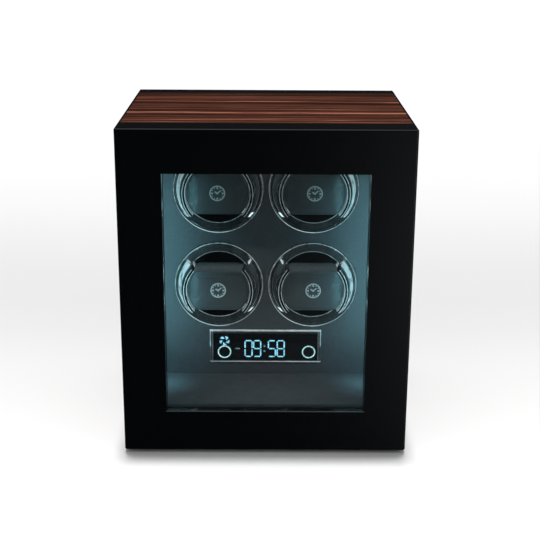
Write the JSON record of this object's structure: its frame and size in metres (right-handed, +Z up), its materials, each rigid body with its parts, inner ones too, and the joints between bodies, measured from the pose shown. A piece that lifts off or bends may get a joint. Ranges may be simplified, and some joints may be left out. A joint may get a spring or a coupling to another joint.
{
  "type": "watch winder box",
  "caption": "Glazed box that winds automatic watches: black door on hinges, veneered sleeve, motor-driven turntables with pull-out cushions, touch display and inner lamps.",
  "frame": {"origin": "on the ground under the middle of the box", "axes": "+Z up, the door faces -Y, +X to the viewer's right when facing the door"},
  "size_m": [0.2526, 0.205, 0.293],
  "materials": {
    "veneer": "polished dark striped veneer under clear lacquer",
    "black_lacquer": "black piano lacquer",
    "black_board": "satin black",
    "leatherette": "fine grained black leatherette",
    "cushion_leather": "soft black leather",
    "door_glass": "clear polished glass",
    "clear_acrylic": "clear polished acrylic",
    "gloss_black": "gloss black moulding",
    "nickel": "polished nickel plate",
    "bezel_chrome": "polished chrome plate",
    "display_glass": "black polished glass",
    "steel": "zinc plated",
    "black_steel": "black oxide",
    "gearmotor_metal": "zinc plated can",
    "circuit_board": "green solder mask",
    "black_plastic": "satin black",
    "aluminium": "anodised",
    "lamp_tape": "white tape with lamps",
    "milky_plastic": "translucent white",
    "jack_nickel": "nickel plate",
    "rubber": "matte"
  },
  "bodies": {
    "cabinet": {"base_panel": "veneer", "top_panel": "veneer", "left_panel": "veneer", "right_panel": "veneer", "rear_frame": "black_lacquer", "back_cover": "black_board", "back_cover_screws": "black_steel", "side_lining_left": "leatherette", "side_lining_right": "leatherette", "ceiling_lining": "leatherette", "floor_board": "leatherette", "fascia_board": "leatherette", "display_bezel": "bezel_chrome", "display_glass": "display_glass", "display_module": "black_plastic", "display_board": "circuit_board", "led_channels": "aluminium", "led_strips": "lamp_tape", "led_diffusers": "milky_plastic", "motor_plate": "steel", "motor_plate_screws": "black_steel", "motor_screws": "black_steel", "gearmotor_upper_left": "gearmotor_metal", "gearmotor_upper_right": "gearmotor_metal", "gearmotor_lower_left": "gearmotor_metal", "gearmotor_lower_right": "gearmotor_metal", "control_board": "circuit_board", "board_standoffs": "black_plastic", "dc_jack": "black_plastic", "dc_jack_nut": "jack_nickel", "wiring_harness": "black_plastic", "rubber_feet": "rubber", "hinge_leaves_cabinet": "nickel", "hinge_pins": "nickel", "hinge_screws_cabinet": "nickel", "strike_plates": "steel"},
    "door": {"door_frame": "black_lacquer", "door_glass": "door_glass", "glass_retainer": "black_board", "retainer_screws": "black_steel", "hinge_leaves_door": "nickel", "hinge_screws_door": "nickel", "door_magnets": "nickel", "door_bumpers": "rubber"},
    "turntable_upper_left": {"clear_ring_upper_left": "clear_acrylic", "drum_upper_left": "gloss_black", "motor_shaft_upper_left": "steel"},
    "cushion_upper_left": {"cushion_upper_left": "cushion_leather"},
    "turntable_upper_right": {"clear_ring_upper_right": "clear_acrylic", "drum_upper_right": "gloss_black", "motor_shaft_upper_right": "steel"},
    "cushion_upper_right": {"cushion_upper_right": "cushion_leather"},
    "turntable_lower_left": {"clear_ring_lower_left": "clear_acrylic", "drum_lower_left": "gloss_black", "motor_shaft_lower_left": "steel"},
    "cushion_lower_left": {"cushion_lower_left": "cushion_leather"},
    "turntable_lower_right": {"clear_ring_lower_right": "clear_acrylic", "drum_lower_right": "gloss_black", "motor_shaft_lower_right": "steel"},
    "cushion_lower_right": {"cushion_lower_right": "cushion_leather"}
  },
  "joints": [
    {"name": "door_hinge", "type": "hinge", "parent": "cabinet", "child": "door", "pos_m": [-0.1254, -0.078, 0.148], "axis": [0, 0, -1], "range_deg": [0, 110]},
    {"name": "turntable_upper_left_spin", "type": "hinge", "parent": "cabinet", "child": "turntable_upper_left", "pos_m": [-0.0444, 0, 0.2159], "axis": [0, 1, 0], "continuous": true},
    {"name": "turntable_upper_right_spin", "type": "hinge", "parent": "cabinet", "child": "turntable_upper_right", "pos_m": [0.0444, 0, 0.2159], "axis": [0, 1, 0], "continuous": true},
    {"name": "turntable_lower_left_spin", "type": "hinge", "parent": "cabinet", "child": "turntable_lower_left", "pos_m": [-0.0444, 0, 0.1226], "axis": [0, 1, 0], "continuous": true},
    {"name": "turntable_lower_right_spin", "type": "hinge", "parent": "cabinet", "child": "turntable_lower_right", "pos_m": [0.0444, 0, 0.1226], "axis": [0, 1, 0], "continuous": true},
    {"name": "cushion_upper_left_pull", "type": "slide", "parent": "turntable_upper_left", "child": "cushion_upper_left", "axis": [0, -1, 0], "range_m": [0, 0.05]},
    {"name": "cushion_upper_right_pull", "type": "slide", "parent": "turntable_upper_right", "child": "cushion_upper_right", "axis": [0, -1, 0], "range_m": [0, 0.05]},
    {"name": "cushion_lower_left_pull", "type": "slide", "parent": "turntable_lower_left", "child": "cushion_lower_left", "axis": [0, -1, 0], "range_m": [0, 0.05]},
    {"name": "cushion_lower_right_pull", "type": "slide", "parent": "turntable_lower_right", "child": "cushion_lower_right", "axis": [0, -1, 0], "range_m": [0, 0.05]}
  ]
}
